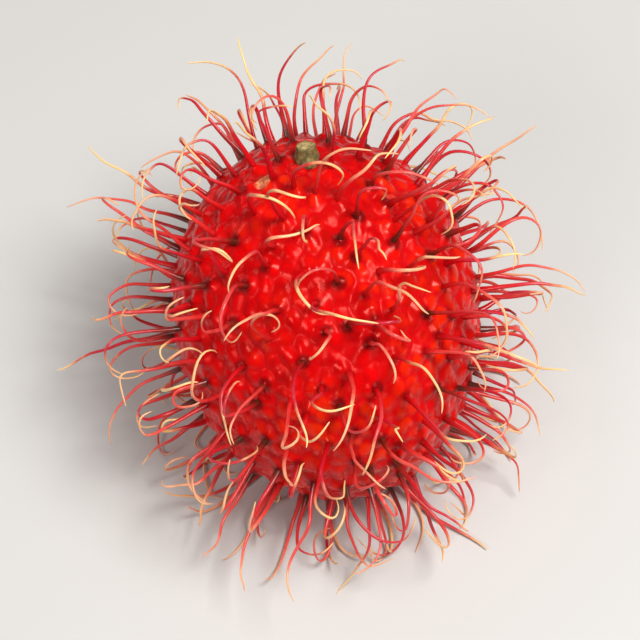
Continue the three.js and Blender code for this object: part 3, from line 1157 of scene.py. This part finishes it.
class RAMBUTAN_OT_stub(bpy.types.Operator):
    """Builds the stub of the stalk, torn off short, with the small barren lobe beside it"""

    bl_idname = "rambutan.stub"
    bl_label = "Build Stalk Stub"

    def execute(self, context):
        settings = context.scene.rambutan_stub
        fruit = FruitShape(context.scene.rambutan_rind, context.scene.rambutan_spines)
        way = fruit.stub_way()
        turn = Vector((0, 0, 1)).rotation_difference(fruit.normal(way)).to_matrix().to_4x4()
        stands = Matrix.Translation(fruit.point(way)) @ turn
        shape = bmesh.new()
        self.torn = shape.verts.layers.float.new("torn")
        self.add_stalk(shape, settings)
        self.add_lobe(shape, settings)
        bmesh.ops.transform(shape, matrix=stands, verts=shape.verts)
        bmesh.ops.recalc_face_normals(shape, faces=shape.faces)
        stub = new_piece("stalk_stub_bark", shape, dry_stalk_material(settings))
        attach(stub, "root")
        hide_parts("stalk_stub")
        return {"FINISHED"}

    def add_stalk(self, shape, settings):
        """Adds the stalk, upright: a tube with a torn end, ridged and roughened."""
        radius, height = settings.radius, settings.height
        bmesh.ops.create_cone(
            shape,
            cap_ends=True,
            segments=STALK_SIDES,
            radius1=radius,
            radius2=radius,
            depth=height + STUB_SINK,
            matrix=Matrix.Translation((0, 0, (height - STUB_SINK) / 2)),
        )
        upright = [e for e in shape.edges if abs(e.verts[0].co.z - e.verts[1].co.z) > height / 2]
        bmesh.ops.subdivide_edges(shape, edges=upright, cuts=STALK_RINGS - 1, use_grid_fill=True)
        # Only the two ends have more than four corners.
        ends = [f for f in shape.faces if len(f.verts) > 4]
        top = max(ends, key=lambda f: f.calc_center_median().z)
        for thickness, depth in TORN_RINGS:
            bmesh.ops.inset_region(shape, faces=[top], thickness=thickness, depth=depth)
        bmesh.ops.poke(shape, faces=[top])
        for vert in shape.verts:
            self.roughen(vert, radius, height)

    def roughen(self, vert, radius, height):
        """Moves a point of the smooth stalk to its place on the ridged bark, or on the torn fibres."""
        turn = math.atan2(vert.co.y, vert.co.x)
        ring = Vector((vert.co.x, vert.co.y, 0)).length / radius
        ridges = 1 + RIDGE_HEIGHT * math.sin(RIDGES * turn + 1)
        ridges += FINE_RIDGE_HEIGHT * math.sin(FINE_RIDGES * turn)
        waist = 1 + FOOT_SWELLING * hump(vert.co.z, FOOT_HEIGHT) - STALK_TAPER * max(0, vert.co.z / height)
        rough = BARK_ROUGHNESS * noise.noise(vert.co / BARK_GRAIN)
        vert.co.x *= ridges * waist
        vert.co.y *= ridges * waist
        if ring > MIDDLE_OF_END:
            vert.co += Vector((vert.co.x, vert.co.y, 0)).normalized() * rough
        if vert.co.z > TORN_FROM * height:
            vert[self.torn] = max(0, min(1, (TORN_EDGE - ring) / TORN_EDGE_WIDTH))
            vert.co.z += TORN_ROUGHNESS * noise.noise(vert.co / TORN_GRAIN)

    def add_lobe(self, shape, settings):
        """Adds the barren lobe: a rough bead beside the stalk, a little taller than it is wide."""
        middle = Vector((0, -LOBE_OFFSET, settings.lobe_radius * LOBE_LIFT))
        made = bmesh.ops.create_icosphere(
            shape,
            subdivisions=4,
            radius=settings.lobe_radius,
            matrix=Matrix.Translation(middle) @ Matrix.Diagonal((1, 1, LOBE_STRETCH, 1)),
        )
        for vert in made["verts"]:
            out = (vert.co - middle).normalized()
            vert.co += out * LOBE_ROUGHNESS * noise.noise(vert.co / LOBE_GRAIN)


class RAMBUTAN_OT_stage(bpy.types.Operator):
    """Lays the plain pale floor, and sets up the soft lights and the camera"""

    bl_idname = "rambutan.stage"
    bl_label = "Set Stage"

    def execute(self, context):
        settings = context.scene.rambutan_stage
        low, high = CAD_BOX
        middle = (low + high) / 2
        shape = bmesh.new()
        bmesh.ops.create_grid(
            shape,
            x_segments=FLOOR_SQUARES,
            y_segments=FLOOR_SQUARES,
            size=FLOOR_HALF_WIDTH,
            matrix=Matrix.Translation((0, 0, -FLOOR_DROP)),
        )
        floor = new_piece("floor", shape, matt_board_material(settings))
        for name, (place, width, share) in LIGHTS.items():
            light = bpy.data.lights.new(name, "AREA")
            light.shape = "DISK"
            light.size = width
            light.energy = settings.key_power * share
            self.add_aimed(context, bpy.data.objects.new(name, light), place, middle)
        self.add_camera(context, middle + AIM_OFF_MIDDLE, settings.camera_distance)
        world = bpy.data.worlds.new("studio")
        world.use_nodes = True
        background = world.node_tree.nodes["Background"]
        background.inputs["Color"].default_value = (1, 1, 1, 1)
        background.inputs["Strength"].default_value = WORLD_STRENGTH
        context.scene.world = world
        context.scene.view_settings.view_transform = "Standard"
        return {"FINISHED"}

    def add_aimed(self, context, thing, place, target):
        """Adds a light or a camera at a place, looking at the target."""
        context.scene.collection.objects.link(thing)
        turn = (target - place).to_track_quat("-Z", "Y").to_matrix().to_4x4()
        thing.matrix_world = Matrix.Translation(place) @ turn

    def add_camera(self, context, target, distance):
        """Adds the camera, at its angles round the target and above the floor."""
        level = math.cos(CAMERA_ELEVATION)
        back = Vector(
            (math.sin(CAMERA_AZIMUTH) * level, -math.cos(CAMERA_AZIMUTH) * level, math.sin(CAMERA_ELEVATION))
        )
        camera = bpy.data.objects.new("camera", bpy.data.cameras.new("camera"))
        camera.data.lens = CAMERA_LENS
        camera.data.clip_start = 10 * MM
        self.add_aimed(context, camera, target + back * distance, target)
        context.scene.camera = camera


OPERATORS = (RAMBUTAN_OT_rind, RAMBUTAN_OT_spines, RAMBUTAN_OT_stub, RAMBUTAN_OT_stage)
SETTINGS = {
    "rambutan_rind": RindSettings,
    "rambutan_spines": SpineSettings,
    "rambutan_stub": StubSettings,
    "rambutan_stage": StageSettings,
}


class RAMBUTAN_PT_build(bpy.types.Panel):
    """Lists the settings of each piece, with the button that builds it"""

    bl_idname = "RAMBUTAN_PT_build"
    bl_label = "Rambutan"
    bl_space_type = "VIEW_3D"
    bl_region_type = "UI"
    bl_category = "Rambutan"

    def draw(self, context):
        for operator, group in zip(OPERATORS, SETTINGS):
            box = self.layout.box()
            for name in SETTINGS[group].__annotations__:
                box.prop(getattr(context.scene, group), name)
            box.operator(operator.bl_idname)


def register():
    for group in SETTINGS.values():
        bpy.utils.register_class(group)
    for operator in OPERATORS:
        bpy.utils.register_class(operator)
    bpy.utils.register_class(RAMBUTAN_PT_build)
    for name, group in SETTINGS.items():
        setattr(bpy.types.Scene, name, PointerProperty(type=group))


def unregister():
    for name in SETTINGS:
        delattr(bpy.types.Scene, name)
    bpy.utils.unregister_class(RAMBUTAN_PT_build)
    for operator in reversed(OPERATORS):
        bpy.utils.unregister_class(operator)
    for group in SETTINGS.values():
        bpy.utils.unregister_class(group)


def main():
    """Builds the fruit on its stage."""
    register()
    bpy.ops.rambutan.rind()
    bpy.ops.rambutan.spines()
    bpy.ops.rambutan.stub()
    bpy.ops.rambutan.stage()
    bpy.context.view_layer.update()


if __name__ == "__main__":
    main()
